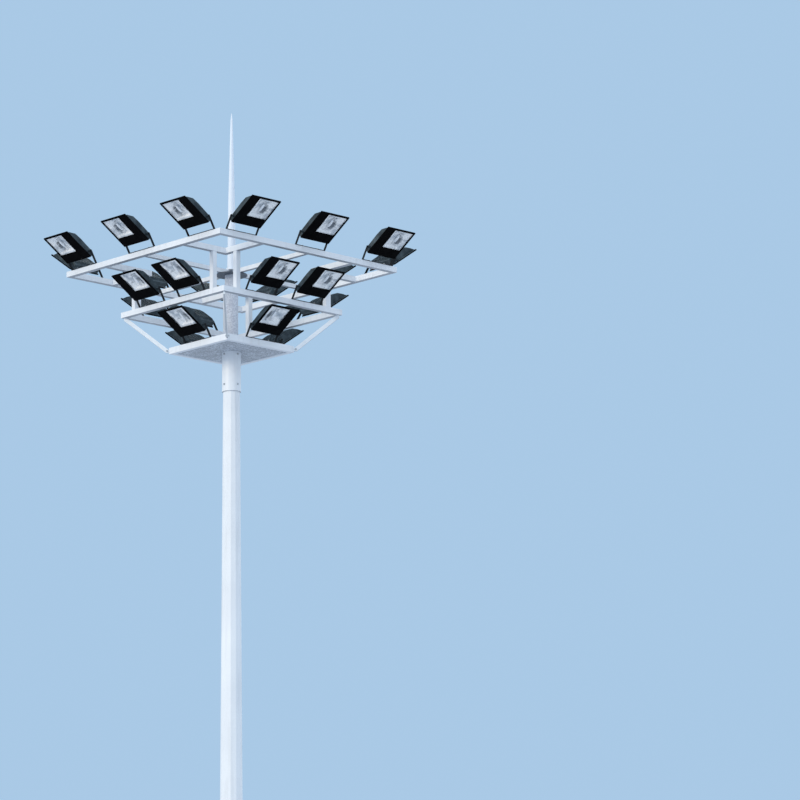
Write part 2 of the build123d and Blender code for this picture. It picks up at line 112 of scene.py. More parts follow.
# Bolts: width across flats, height of the head, radius and thickness of the washer
PIVOT_BOLT = (0.019, 0.0075, 0.013, 0.0025)
FOOT_BOLT = (0.019, 0.0075, 0.012, 0.0025)
ANCHOR_NUT = (0.055, 0.029, 0.034, 0.006)
SET_SCREW = (0.024, 0.010, 0.0165, 0.003)
STRUT_BOLT = (0.024, 0.010, 0.014, 0.003)
SPIKE_BOLT = (0.019, 0.010, 0.0145, 0.003)

# Small screws, as (radius, height) points over the face that they sit on
DOOR_SCREW = [(0.0068, -0.0005), (0.0068, 0.0016), (0.0052, 0.0034), (0.0022, 0.0042)]
BEZEL_SCREW = [(0.0058, 0.0), (0.0056, 0.0016), (0.0042, 0.0028), (0.0020, 0.0032)]

# Widths of rolled tube corners, bent plates and dressed edges
TUBE_CORNER = 0.006
RIM_CORNER = 0.004
STRUT_CORNER = 0.002
PLATE_EDGE = 0.0015

# Surroundings: floor, background and light, with colours in linear RGB
FLOOR_RADIUS = 320
FLOOR_DROP = 0.0005
FLOOR_COLORS = (0.44, 0.478, 0.53), (0.46, 0.498, 0.55)
BACKGROUND = (0.40, 0.585, 0.79)
AMBIENT = (0.895, 1.0, 1.115)
AMBIENT_STRENGTH = 1.02

# Colours of the paint in linear RGB
WHITE = (0.80, 0.845, 0.90)
OFF_WHITE = (0.71, 0.755, 0.815)
DIRT = (0.50, 0.52, 0.54)


# Materials: every one is built from procedural textures in the piece's own coordinates
def new_material(name):
    """A material with its tree and its empty Principled shader."""
    material = bpy.data.materials.new(name)
    material.use_nodes = True
    tree = material.node_tree
    tree.nodes.clear()
    out = tree.nodes.new("ShaderNodeOutputMaterial")
    shader = tree.nodes.new("ShaderNodeBsdfPrincipled")
    tree.links.new(shader.outputs["BSDF"], out.inputs["Surface"])
    return material, tree, shader


def noise(tree, scale, detail=4, stretch=(1, 1, 1)):
    """Noise over the piece's own coordinates, stretched along an axis where asked."""
    coords = tree.nodes.new("ShaderNodeTexCoord")
    mapping = tree.nodes.new("ShaderNodeMapping")
    mapping.inputs["Scale"].default_value = stretch
    texture = tree.nodes.new("ShaderNodeTexNoise")
    texture.inputs["Scale"].default_value = scale
    texture.inputs["Detail"].default_value = detail
    tree.links.new(coords.outputs["Object"], mapping.inputs["Vector"])
    tree.links.new(mapping.outputs["Vector"], texture.inputs["Vector"])
    return texture.outputs["Fac"]


def cells(tree, scale, output="Color"):
    """Voronoi cells over the piece's own coordinates."""
    coords = tree.nodes.new("ShaderNodeTexCoord")
    texture = tree.nodes.new("ShaderNodeTexVoronoi")
    texture.inputs["Scale"].default_value = scale
    tree.links.new(coords.outputs["Object"], texture.inputs["Vector"])
    return texture.outputs[output]


def span(tree, value, low, high, to_low, to_high):
    """Maps a value from one range to another, clamped."""
    node = tree.nodes.new("ShaderNodeMapRange")
    for socket, number in zip(("From Min", "From Max", "To Min", "To Max"), (low, high, to_low, to_high)):
        node.inputs[socket].default_value = number
    tree.links.new(value, node.inputs["Value"])
    return node.outputs["Result"]


def blend_color(tree, factor, first, second):
    """Mixes two colours; each is a linear RGB tuple or another node's output."""
    node = tree.nodes.new("ShaderNodeMix")
    node.data_type = "RGBA"
    tree.links.new(factor, node.inputs["Factor"])
    for socket, color in (("A", first), ("B", second)):
        place = [s for s in node.inputs if s.name == socket and s.type == "RGBA"][0]
        if isinstance(color, tuple):
            place.default_value = (*color, 1)
        else:
            tree.links.new(color, place)
    return [s for s in node.outputs if s.type == "RGBA"][0]


def facing_up(tree):
    """How far a surface faces upward, from 0 for walls and undersides to 1 for tops."""
    return span(tree, upright(tree), 0.15, 0.95, 0, 1)


def facing_down(tree):
    """How far a surface faces downward, from 0 for walls and tops to 1 for undersides."""
    return span(tree, upright(tree), -0.45, -0.90, 0, 1)


def upright(tree):
    """Vertical part of the surface's normal."""
    geometry = tree.nodes.new("ShaderNodeNewGeometry")
    parts = tree.nodes.new("ShaderNodeSeparateXYZ")
    tree.links.new(geometry.outputs["Normal"], parts.inputs["Vector"])
    return parts.outputs["Z"]


def calculate(tree, operation, *values):
    """Result of a maths node on the outputs of other nodes."""
    node = tree.nodes.new("ShaderNodeMath")
    node.operation = operation
    for socket, value in zip(node.inputs, values):
        tree.links.new(value, socket)
    return node.outputs["Value"]


def product(tree, first, second):
    """Product of two values."""
    return calculate(tree, "MULTIPLY", first, second)


def add_bump(tree, shader, height, strength, distance):
    """Bumps the shader's normal by a height."""
    node = tree.nodes.new("ShaderNodeBump")
    node.inputs["Strength"].default_value = strength
    node.inputs["Distance"].default_value = distance
    tree.links.new(height, node.inputs["Height"])
    tree.links.new(node.outputs["Normal"], shader.inputs["Normal"])


def painted_steel(name, clean, dull, streak, gloss=0.36, underside_shade=(0.30, 0.325, 0.375)):
    """Paint on galvanised steel: clouds, rain streaks, dust on top, painted shade on undersides and an orange
    peel.
    """
    material, tree, shader = new_material(name)
    clouds = span(tree, noise(tree, 1.1, 5), 0.35, 0.70, 0, 1)
    color = blend_color(tree, clouds, clean, dull)
    runs = span(tree, noise(tree, 14, 4, (1, 1, 0.06)), 0.52, 0.78, 0, 0.30)
    color = blend_color(tree, runs, color, streak)
    dust = product(tree, facing_up(tree), span(tree, noise(tree, 7, 6), 0.3, 0.8, 0.10, 0.45))
    color = blend_color(tree, dust, color, streak)
    # Painted shade: faces that point down are blended most of the way to a dark colour
    painted_shade = product(tree, facing_down(tree), span(tree, noise(tree, 6, 5), 0.3, 0.7, 0.75, 0.95))
    color = blend_color(tree, painted_shade, color, underside_shade)
    tree.links.new(color, shader.inputs["Base Color"])
    tree.links.new(span(tree, noise(tree, 5, 5), 0.3, 0.7, gloss, gloss + 0.2), shader.inputs["Roughness"])
    add_bump(tree, shader, noise(tree, 240, 3), 0.25, 0.0012)
    return material


def spangled_steel(name, light, dark, gloss=0.45, grain=46):
    """Galvanised steel sheet with its zinc spangle."""
    material, tree, shader = new_material(name)
    grains = span(tree, cells(tree, grain), 0.25, 0.75, 0, 1)
    color = blend_color(tree, grains, dark, light)
    stains = span(tree, noise(tree, 3.5, 6), 0.45, 0.75, 0, 0.5)
    color = blend_color(tree, stains, color, dark)
    tree.links.new(color, shader.inputs["Base Color"])
    tree.links.new(span(tree, cells(tree, grain), 0, 1, gloss, gloss + 0.2), shader.inputs["Roughness"])
    add_bump(tree, shader, cells(tree, grain, output="Distance"), 0.2, 0.002)
    return material


def dark_coat(name, coat, worn, dust, gloss=0.5, dustiness=0.5, sheen_level=0.3):
    """Dark powder coat on metal: fine grain, dull patches, and dust where it faces up."""
    material, tree, shader = new_material(name)
    patches = span(tree, noise(tree, 9, 6), 0.4, 0.75, 0, 1)
    color = blend_color(tree, patches, coat, worn)
    settled = product(tree, facing_up(tree), span(tree, noise(tree, 24, 5), 0.25, 0.8, 0.15, dustiness))
    color = blend_color(tree, settled, color, dust)
    tree.links.new(color, shader.inputs["Base Color"])
    tree.links.new(span(tree, noise(tree, 30, 4), 0.3, 0.7, gloss, gloss + 0.18), shader.inputs["Roughness"])
    add_bump(tree, shader, noise(tree, 700, 2), 0.3, 0.0006)
    shader.inputs["Specular IOR Level"].default_value = sheen_level
    return material


def bright_metal(name, light, dark, gloss, grain, grain_depth, metallic=0.9, lamp_reflection=None):
    """Bare metal with a mottled face and a painted dark reflection where it mirrors the lamp."""
    material, tree, shader = new_material(name)
    mottle = span(tree, noise(tree, grain, 3), 0.34, 0.56, 0, 1)
    color = blend_color(tree, mottle, dark, light)
    if lamp_reflection:
        # Painted reflection: the lamp's dark mirror image blended into the colour
        color = blend_color(tree, near_lamp(tree), color, lamp_reflection)
    tree.links.new(color, shader.inputs["Base Color"])
    tree.links.new(span(tree, noise(tree, grain * 3, 3), 0.3, 0.7, gloss, gloss + 0.15),
                   shader.inputs["Roughness"])
    add_bump(tree, shader, cells(tree, grain * 2, output="Distance"), 0.5, grain_depth)
    shader.inputs["Metallic"].default_value = metallic
    return material


def near_lamp(tree):
    """How near a spot of the reflector is to the lamp's mirror image, on either hand of floodlight."""
    coords = tree.nodes.new("ShaderNodeTexCoord")
    parts = tree.nodes.new("ShaderNodeSeparateXYZ")
    tree.links.new(coords.outputs["Object"], parts.inputs["Vector"])
    squares = []
    for output, centre, reach in zip("XY", LAMP_IMAGE, LAMP_IMAGE_REACH):
        size = calculate(tree, "ABSOLUTE", parts.outputs[output])
        offset = span(tree, size, centre - reach, centre + reach, -1, 1)
        squares.append(product(tree, offset, offset))
    distance = calculate(tree, "ADD", *squares)
    ripple = span(tree, noise(tree, 22, 3), 0.3, 0.7, -0.45, 0.45)
    return span(tree, calculate(tree, "ADD", distance, ripple), 0.25, 1.0, 1, 0)


def clear_glass(name):
    """Toughened pane with a little dust on it."""
    material, tree, shader = new_material(name)
    smears = span(tree, noise(tree, 6, 6), 0.45, 0.8, 0, 1)
    tree.links.new(blend_color(tree, smears, (0.80, 0.86, 0.94), (0.70, 0.74, 0.80)),
                   shader.inputs["Base Color"])
    tree.links.new(span(tree, noise(tree, 9, 5), 0.4, 0.8, 0.03, 0.18), shader.inputs["Roughness"])
    tree.links.new(span(tree, noise(tree, 6, 6), 0.45, 0.8, 0.05, 0.16), shader.inputs["Alpha"])
    return material


mast_paint = painted_steel("mast_paint", WHITE, OFF_WHITE, DIRT)
head_paint = painted_steel("head_paint", (0.79, 0.835, 0.895), (0.70, 0.745, 0.81), DIRT)
# The rim's painted underside shade is kept nearly as light as its paint
rim_paint = painted_steel("rim_paint", (0.80, 0.845, 0.905), (0.71, 0.755, 0.82), DIRT,
                          underside_shade=(0.72, 0.76, 0.83))
strut_paint = painted_steel("strut_paint", (0.84, 0.90, 0.96), (0.80, 0.86, 0.93), (0.66, 0.72, 0.78))
spike_paint = painted_steel("spike_paint", (0.76, 0.83, 0.93), (0.68, 0.76, 0.88), (0.55, 0.62, 0.70))
floor_steel = spangled_steel("floor_steel", (0.60, 0.65, 0.73), (0.23, 0.26, 0.31), grain=62)
pole_steel = spangled_steel("pole_steel", (0.76, 0.80, 0.88), (0.57, 0.61, 0.70), grain=62)
hub_steel = spangled_steel("hub_steel", (0.13, 0.16, 0.20), (0.06, 0.08, 0.11))
housing_coat = dark_coat("housing_coat", (0.024, 0.036, 0.044), (0.075, 0.104, 0.120),
                         (0.18, 0.23, 0.27), dustiness=0.7)
bezel_coat = dark_coat("bezel_coat", (0.0018, 0.0018, 0.0022), (0.0035, 0.0035, 0.0042),
                       (0.02, 0.022, 0.025), gloss=0.6, sheen_level=0.02)
yoke_coat = dark_coat("yoke_coat", (0.010, 0.012, 0.014), (0.020, 0.023, 0.026), (0.07, 0.08, 0.09),
                      sheen_level=0.15)
zinc_bolt = bright_metal("zinc_bolt", (0.66, 0.67, 0.68), (0.42, 0.43, 0.44), 0.34, 60, 0.0004)
# The reflector's colour carries a painted dark reflection of the lamp
reflector_metal = bright_metal("reflector_metal", (0.99, 0.995, 1.0), (0.30, 0.36, 0.43), 0.32, 7, 0.0006,
                               metallic=0.10, lamp_reflection=(0.02, 0.035, 0.055))
lamp_glass = bright_metal("lamp_glass", (0.95, 0.97, 1.0), (0.80, 0.86, 0.95), 0.25, 30, 0.0001, metallic=0.0)
lamp_ceramic = painted_steel("lamp_ceramic", (0.78, 0.79, 0.80), (0.68, 0.69, 0.70), (0.52, 0.52, 0.52))
weld_metal = painted_steel("weld_metal", (0.74, 0.78, 0.85), (0.62, 0.66, 0.72), DIRT, gloss=0.42)
pane_glass = clear_glass("pane_glass")

# The record's material slots, and the nodes whose steel differs from the rest of their slot
FINISH = {
    "mast_steel": mast_paint,
    "head_paint": head_paint,
    "floor_paint": floor_steel,
    "spike_paint": spike_paint,
    "yoke_steel": yoke_coat,
    "hub_steel": hub_steel,
    "housing": housing_coat,
}
for subpart in frame["record"]["subparts"]:
    surface = nodes[subpart["node"]].data.materials
    surface.clear()
    surface.append(FINISH[subpart["material_slot"]])
for name, steel in (("head_pole", pole_steel), ("corner_struts", strut_paint), ("platform_rim", rim_paint)):
    nodes[name].data.materials[0] = steel

# Rolled corners of the square tubes and the edges of plates
TUBES = [
    "top_tube_front", "top_tube_right", "top_tube_back", "top_tube_left", "long_cross_beam",
    "short_cross_beams", "corner_beams_long", "corner_beams_short", "middle_tubes_long",
    "middle_tubes_short", "frame_posts",
]
ROUNDED = {
    **{name: TUBE_CORNER for name in TUBES},
    "platform_rim": RIM_CORNER,
    "corner_struts": STRUT_CORNER,
    "base_gussets": PLATE_EDGE,
    "base_flange": PLATE_EDGE,
}
for name, width in ROUNDED.items():
    rounding = nodes[name].modifiers.new("rolled_corners", "BEVEL")
    rounding.width = width
    rounding.segments = 2
    rounding.limit_method = "ANGLE"
    rounding.angle_limit = radians(40)
    rounding.harden_normals = False


# Mesh helpers: prism, block and lathe give back the vertices that they made
def prism(bm, outline, low, high):
    """Closed prism over an outline in x and y, counter-clockwise seen from +z."""
    lower = [bm.verts.new((x, y, low)) for x, y in outline]
    upper = [bm.verts.new((x, y, high)) for x, y in outline]
    bm.faces.new(lower[::-1])
    bm.faces.new(upper)
    for i in range(len(outline)):
        j = (i + 1) % len(outline)
        bm.faces.new((lower[i], lower[j], upper[j], upper[i]))
    return lower + upper


def block(bm, low, high):
    """Box between two corners."""
    outline = [(low[0], low[1]), (high[0], low[1]), (high[0], high[1]), (low[0], high[1])]
    return prism(bm, outline, low[2], high[2])


def lathe(bm, profile, sides):
    """Solid of revolution round z through (radius, height) points, bottom first, with flat ends."""
    rings = []
    for radius, height in profile:
        ring = [bm.verts.new((radius * cos(2 * pi * i / sides), radius * sin(2 * pi * i / sides), height))
                for i in range(sides)]
        rings.append(ring)
    bm.faces.new(rings[0][::-1])
    bm.faces.new(rings[-1])
    for below, above in zip(rings, rings[1:]):
        for i in range(sides):
            j = (i + 1) % sides
            bm.faces.new((below[i], below[j], above[j], above[i]))
    return [vert for ring in rings for vert in ring]


def move(bm, verts, place):
    """Puts vertices at a place."""
    bmesh.ops.transform(bm, matrix=place, verts=verts)


def shrunk(low, high, inset):
    """Corners of a rectangle made smaller by an inset on every side, or larger by a negative one."""
    return (low[0] + inset, low[1] + inset), (high[0] - inset, high[1] - inset)


def bolt_head(bm, place, across, head, washer_radius, washer, shank_rise=0.0):
    """Hexagon head with chamfered corners on a washer, standing along the place's z axis."""
    disc = [(washer_radius, 0), (washer_radius, washer * 0.8), (washer_radius * 0.96, washer)]
    move(bm, lathe(bm, disc, 20), place)
    corner = across / sqrt(3)
    rim = across / 2
    profile = [(corner, washer), (corner, washer + head * 0.86), (rim * 0.98, washer + head)]
    move(bm, lathe(bm, profile, 6), place)
    if shank_rise:
        top = washer + head + shank_rise
        shank = across * 0.31
        move(bm, lathe(bm, [(shank, washer), (shank, top - shank * 0.25), (shank * 0.8, top)], 16), place)


def bead(bm, points, radius, closed=False, sides=6):
    """Weld bead: a round rod along straight runs, with mitred corners."""
    points = [Vector(p) for p in points]
    count = len(points)
    # No run goes this way, so it gives every ring its sideways direction
    askew = Vector((0.36, 0.48, 0.80))
    rings = []
    for i, point in enumerate(points):
        before = points[i - 1] if closed or i else None
        after = points[(i + 1) % count] if closed or i < count - 1 else None
        arrive = (point - before).normalized() if before is not None else None
        leave = (after - point).normalized() if after is not None else None
        along = (arrive or leave) + (leave or arrive)
        along.normalize()
        side = along.cross(askew).normalized()
        other = along.cross(side).normalized()
        rings.append([bm.verts.new(point + radius * (cos(2 * pi * k / sides) * side
                                                    + sin(2 * pi * k / sides) * other))
                      for k in range(sides)])
    pairs = list(zip(rings, rings[1:]))
    if closed:
        pairs.append((rings[-1], rings[0]))
    else:
        bm.faces.new(rings[0][::-1])
        bm.faces.new(rings[-1])
    for first, second in pairs:
        shift = min(range(sides), key=lambda s: sum((first[k].co - second[(k + s) % sides].co).length
                                                    for k in range(sides)))
        for k in range(sides):
            m = (k + 1) % sides
            bm.faces.new((first[k], first[m], second[(m + shift) % sides], second[(k + shift) % sides]))


def to_mesh(bm, name, materials, smooth_angle=None):
    """Turns a bmesh into a mesh with outward faces."""
    bmesh.ops.recalc_face_normals(bm, faces=bm.faces)
    mesh = bpy.data.meshes.new(name)
    bm.to_mesh(mesh)
    bm.free()
    for material in materials:
        mesh.materials.append(material)
    if smooth_angle is not None:
        mesh.shade_smooth()
        mesh.set_sharp_from_angle(angle=smooth_angle)
    return mesh


def place_piece(name, mesh, body, place=None):
    """Puts a mesh in the scene as a piece that rides on a body."""
    piece = bpy.data.objects.new(name, mesh)
    bpy.context.scene.collection.objects.link(piece)
    if place is not None:
        piece.matrix_world = place
    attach(piece, body)
    return piece


def mirrored(bm):
    """The same shape for a right-handed floodlight, turned over across u."""
    bmesh.ops.transform(bm, matrix=Matrix.Diagonal((-1, 1, 1, 1)), verts=bm.verts)
    bmesh.ops.reverse_faces(bm, faces=bm.faces)
    return bm


# Floodlight pieces, each made once for either hand
def glass_shape():
    """Toughened pane in the face's rebate."""
    bm = bmesh.new()
    gap, thickness, depth, ground_edge = 0.0005, 0.004, 0.0075, 0.0006
    low, high = shrunk(*WINDOW, gap)
    block(bm, (*low, FACE - depth), (*high, FACE - depth + thickness))
    bmesh.ops.bevel(bm, geom=bm.edges[:], offset=ground_edge, segments=1, affect="EDGES")
    return bm


def reflector_shape():
    """Peened trough behind the pane, with a lip that lies in the rebate and sloping end plates."""
    bm = bmesh.new()
    clearance = 0.001
    lip_n = REBATE_FLOOR + 0.0008
    (u_low, a_low), (u_high, a_high) = shrunk(*WINDOW, REFLECTOR_LIP)
    middle, half = (u_low + u_high) / 2, (u_high - u_low) / 2 - clearance
    flats = 12
    depth = lip_n - REFLECTOR_FLOOR - 2 * clearance
    near_line, far_line = [], []
    for i in range(flats + 1):
        share = -1 + 2 * i / flats
        level = lip_n - depth * (1 - share * share)
        inset = clearance + (lip_n - level) * tan(REFLECTOR_TAPER)
        near_line.append(bm.verts.new((middle + share * half, a_low + inset, level)))
        far_line.append(bm.verts.new((middle + share * half, a_high - inset, level)))
    for i in range(flats):
        bm.faces.new((near_line[i], near_line[i + 1], far_line[i + 1], far_line[i]))
    bm.faces.new(near_line[::-1])
    bm.faces.new(far_line)
    (u_low, a_low), (u_high, a_high) = shrunk(*WINDOW, clearance)
    corners = ((u_low, a_low), (u_high, a_low), (u_high, a_high), (u_low, a_high))
    outer = [bm.verts.new((u, a, lip_n)) for u, a in corners]
    inner = [near_line[0], near_line[-1], far_line[-1], far_line[0]]
    for i in range(4):
        j = (i + 1) % 4
        bm.faces.new((outer[i], outer[j], inner[j], inner[i]))
    return bm


def lamp_shape():
    """Double-ended lamp along the trough, with its ceramic end caps and holders."""
    bm = bmesh.new()
    middle_u, middle_a = sum(WINDOW_U) / 2, sum(WINDOW_A) / 2
    depth, cap_seat = 0.033, 0.081
    base = Matrix.Translation((middle_u, middle_a, FACE - depth)) @ Matrix.Rotation(radians(-90), 4, "X")
    half_bulb = [(0.0160, 0.026), (0.0125, 0.050), (0.009, 0.060)]
    bulb = [(radius, -height) for radius, height in half_bulb[::-1]] + [(0.0170, 0.0)] + half_bulb
    move(bm, lathe(bm, bulb, 20), base)
    caps_from = len(bm.faces)
    ends = [base @ Matrix.Rotation(turn, 4, "X") for turn in (pi, 0)]
    stem = [(0.0080, 0.059), (0.0080, 0.084)]
    for end in ends:
        move(bm, lathe(bm, stem, 16), end)
    cap = [(0.0085, 0.0), (0.0105, 0.003), (0.0105, 0.022), (0.0070, 0.026)]
    for end in ends:
        seat = end @ Matrix.Translation((0, 0, cap_seat))
        move(bm, lathe(bm, cap, 18), seat)
        holder = block(bm, (-0.015, -0.013, 0.020), (0.015, 0.013, 0.0285))
        move(bm, holder, seat)
    bm.faces.ensure_lookup_table()
    for face in bm.faces[caps_from:]:
        face.material_index = 1
    return bm


def ring_plate(bm, outer, inner, low, high, step):
    """Rectangular frame standing on a face, its upper edges stepped in by a chamfer."""
    corners = ((0, 0), (1, 0), (1, 1), (0, 1))

    def loop(box, grow, level):
        """Four corners of a rectangle grown outward, at a level."""
        return [bm.verts.new((box[i][0] + (grow if i else -grow), box[j][1] + (grow if j else -grow), level))
                for i, j in corners]

    loops = [loop(outer, 0, low), loop(outer, 0, high - step), loop(outer, -step, high),
             loop(inner, step, high), loop(inner, 0, high - step), loop(inner, 0, low)]
    for first, second in zip(loops, loops[1:] + loops[:1]):
        for i in range(4):
            j = (i + 1) % 4
            bm.faces.new((first[i], first[j], second[j], second[i]))


def bezel_shape():
    """Cover of the face with its skirt, raised rim, glass frame and screws."""
    bm = bmesh.new()
    skin, plate, overlap, rim, border = 0.0012, 0.003, 0.004, 0.010, 0.009
    frame_foot, rim_top, border_top, screw_seat = 0.0005, 0.0042, 0.0037, 0.0008
    face = ((-FACE_HALF, FACE_NEAR), (FACE_HALF, FACE_FAR))
    outer = shrunk(*face, -skin)
    window = shrunk(*WINDOW, overlap)
    ring_plate(bm, outer, window, FACE - plate, FACE + skin, 0.0006)
    ring_plate(bm, outer, shrunk(*face, skin), BEZEL_BACK - skin, FACE - plate, 0.0)
    ring_plate(bm, outer, shrunk(*face, rim), FACE + frame_foot, FACE + rim_top, 0.0012)
    ring_plate(bm, shrunk(*WINDOW, -border), window, FACE + frame_foot, FACE + border_top, 0.001)
    side, beside = FACE_HALF - 0.018, WINDOW_U[1] + 0.035
    near, middle, far = FACE_NEAR + 0.020, (FACE_NEAR + FACE_FAR) / 2, FACE_FAR - 0.020
    spots = [(side, near), (side, middle), (side, far), (0.130, near), (0.0, near), (-0.130, near),
             (-side, near), (-side, WINDOW_A[0] - 0.030),
             (beside, WINDOW_A[0] + 0.060), (beside, WINDOW_A[1] - 0.060)]
    for u, a in spots:
        move(bm, lathe(bm, BEZEL_SCREW, 12), Matrix.Translation((u, a, FACE + screw_seat)))
    return bm


def fin_shape():
    """Thin cooling fins on the housing's back, between the cast ribs."""
    bm = bmesh.new()
    rise, tail_rise, shoulder_rise, sink = 0.008, 0.004, 0.003, 0.001
    half, end_gap, side_gap = 0.00125, 0.006, 0.004
    tail = (TAIL[0] + end_gap, TAIL[1])
    shoulder = (SHOULDER[0] - end_gap, SHOULDER[1])
    upper = [(tail[0], tail[1] - tail_rise), (BACK[0], BACK[1] - rise), (FLAT[0], FLAT[1] - rise),
             (shoulder[0], shoulder[1] - shoulder_rise)]
    lower = [(a, n + sink) for a, n in (shoulder, FLAT, BACK, tail)]
    pitch = 2 * HOUSING_HALF / RIB_COUNT
    per_gap = 5
    for gap in range(-1, RIB_COUNT):
        start = (gap - (RIB_COUNT - 1) / 2) * pitch
        for k in range(1, per_gap + 1):
            u = start + k * pitch / (per_gap + 1)
            if abs(u) > HOUSING_HALF - side_gap:
                continue
            left = [bm.verts.new((u - half, a, n)) for a, n in upper + lower]
            right = [bm.verts.new((u + half, a, n)) for a, n in upper + lower]
            count = len(left)
            for side, flip in ((left, False), (right, True)):
                for q in range(3):
                    quad = [side[q], side[q + 1], side[count - 2 - q], side[count - 1 - q]]
                    bm.faces.new(quad[::-1] if flip else quad)
            for i in range(count):
                j = (i + 1) % count
                bm.faces.new((left[i], left[j], right[j], right[i]))
    return bm


def both_hands(make, name, materials, smooth_angle=None):
    """The left-handed mesh and its mirror image."""
    return {
        1: to_mesh(make(), name + "_left", materials, smooth_angle),
        -1: to_mesh(mirrored(make()), name + "_right", materials, smooth_angle),
    }


SMOOTH = radians(40)
glass_mesh = both_hands(glass_shape, "pane", [pane_glass])
reflector_mesh = both_hands(reflector_shape, "reflector", [reflector_metal])
lamp_mesh = both_hands(lamp_shape, "lamp", [lamp_glass, lamp_ceramic], SMOOTH)
bezel_mesh = both_hands(bezel_shape, "bezel", [bezel_coat], SMOOTH)
fin_mesh = both_hands(fin_shape, "fins", [housing_coat])

HEAD_TURN = Matrix((
    (1, 0, 0, 0),
    (0, -cos(FACE_TILT), -sin(FACE_TILT), 0),
    (0, sin(FACE_TILT), -cos(FACE_TILT), 0),
    (0, 0, 0, 1),
))


def side_turn(joint):
    """Turn of a floodlight's side of the head: x along its tube, y inward, z up."""
    along = -Vector(joint["axis"])
    inward = Vector((0, 0, 1)).cross(along)
    return Matrix((
        (along.x, inward.x, 0, 0),
        (along.y, inward.y, 0, 0),
        (0, 0, 1, 0),
        (0, 0, 0, 1),
    ))


# Every floodlight gets its pieces at its pivot
for joint in joints:
    body = joint["child"]
    hand = HANDS[body.split("_")[1]][0 if abs(joint["axis"][0]) > 0.5 else 1]
    spot = Matrix.Translation(Vector(joint["pos_m"])) @ side_turn(joint) @ HEAD_TURN
    short = body.replace("floodlight_", "")
    place_piece(f"reflector_{short}", reflector_mesh[hand], body, spot)
    place_piece(f"lamp_{short}", lamp_mesh[hand], body, spot)
    place_piece(f"pane_{short}", glass_mesh[hand], body, spot)
    place_piece(f"bezel_trim_{short}", bezel_mesh[hand], body, spot)
    place_piece(f"fins_{short}", fin_mesh[hand], body, spot)

# Bolts of the yokes: a coated pivot bolt through each ear and two zinc bolts through the strap's foot
for tier in ("top", "middle", "bottom"):
    bm = bmesh.new()
    for joint in joints:
        if not joint["child"].startswith(f"floodlight_{tier}_"):
            continue
        base = Matrix.Translation(Vector(joint["pos_m"])) @ side_turn(joint)
        for hand in (-1, 1):
            outward = Matrix.Rotation(hand * radians(90), 4, "Y")
            ear = Matrix.Translation((hand * YOKE_OUTER_HALF, 0, 0)) @ outward
            first_face = len(bm.faces)
            bolt_head(bm, base @ ear, *PIVOT_BOLT)
            bm.faces.ensure_lookup_table()
            for face in bm.faces[first_face:]:
                face.material_index = 1
            foot = (hand * YOKE_FOOT_BOLT, PIVOT_OUT - YOKE_STRAP_OUT, YOKE_STRAP - PIVOT_RISE)
            bolt_head(bm, base @ Matrix.Translation(foot), *FOOT_BOLT)
    place_piece(f"{tier}_yoke_bolts", to_mesh(bm, f"{tier}_yoke_bolts", [zinc_bolt, yoke_coat]), "tower")

# Foot of the mast: anchor bolts with nuts and washers, and the welds of flange and stiffeners
flange_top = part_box("base_flange")[1].z
bm = bmesh.new()
for k in range(ANCHOR_COUNT):
    angle = 2 * pi * (k + 0.5) / ANCHOR_COUNT
    place = Matrix.Translation((ANCHOR_RADIUS * cos(angle), ANCHOR_RADIUS * sin(angle), flange_top))
    bolt_head(bm, place @ Matrix.Rotation(angle, 4, "Z"), *ANCHOR_NUT, shank_rise=0.045)
place_piece("anchor_bolts", to_mesh(bm, "anchor_bolts", [zinc_bolt]), "tower")

shaft_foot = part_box("mast_lower")[1].x
shaft_corner = shaft_foot / cos(pi / MAST_SIDES)
weld_level = flange_top + 0.001
bm = bmesh.new()
ring = []
for k in range(MAST_SIDES):
    angle = 2 * pi * (k + 0.5) / MAST_SIDES
    ring.append((shaft_corner * cos(angle), shaft_corner * sin(angle), weld_level))
bead(bm, ring, FLANGE_WELD, closed=True)
gusset_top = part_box("base_gussets")[1].z
gusset_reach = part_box("base_gussets")[1].x
for k in range(ANCHOR_COUNT):
    turn = Matrix.Rotation(2 * pi * k / ANCHOR_COUNT, 4, "Z")
    for hand in (-1, 1):
        side = hand * GUSSET_THICKNESS / 2
        run = [(gusset_reach - 0.004, side, flange_top), (shaft_foot + 0.006, side, weld_level),
               (shaft_foot - 0.001, side, gusset_top - 0.006)]
        bead(bm, [turn @ Vector(p) for p in run], GUSSET_WELD)
place_piece("base_welds", to_mesh(bm, "base_welds", [weld_metal], radians(80)), "tower")

# Service door: the screws of its cover
door_low, door_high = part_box("service_door")
bm = bmesh.new()
for share in (0.06, 0.5, 0.94):
    rise = share * (door_high.z - door_low.z)
    for hand in (-1, 1):
        spot = (hand * (door_high.x - DOOR_SCREW_INSET), door_low.y + rise * DOOR_LEAN, door_low.z + rise)
        move(bm, lathe(bm, DOOR_SCREW, 16), Matrix.Translation(spot) @ Matrix.Rotation(radians(90), 4, "X"))
place_piece("door_screws", to_mesh(bm, "door_screws", [zinc_bolt], SMOOTH), "tower")

# Head sleeve: two rows of set screws
sleeve_low, sleeve_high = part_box("head_sleeve")
platform_low, platform_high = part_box("platform_rim")
bm = bmesh.new()
for height in (sleeve_low.z + LOW_SET_SCREW_RISE, platform_low.z - HIGH_SET_SCREW_DROP):
    seat = Matrix.Translation((sleeve_high.x - SET_SCREW_SINK, 0, height))
    outward = seat @ Matrix.Rotation(radians(90), 4, "Y")
    for k in range(4):
        bolt_head(bm, Matrix.Rotation(k * pi / 2, 4, "Z") @ outward, *SET_SCREW)
place_piece("sleeve_screws", to_mesh(bm, "sleeve_screws", [zinc_bolt]), "tower")

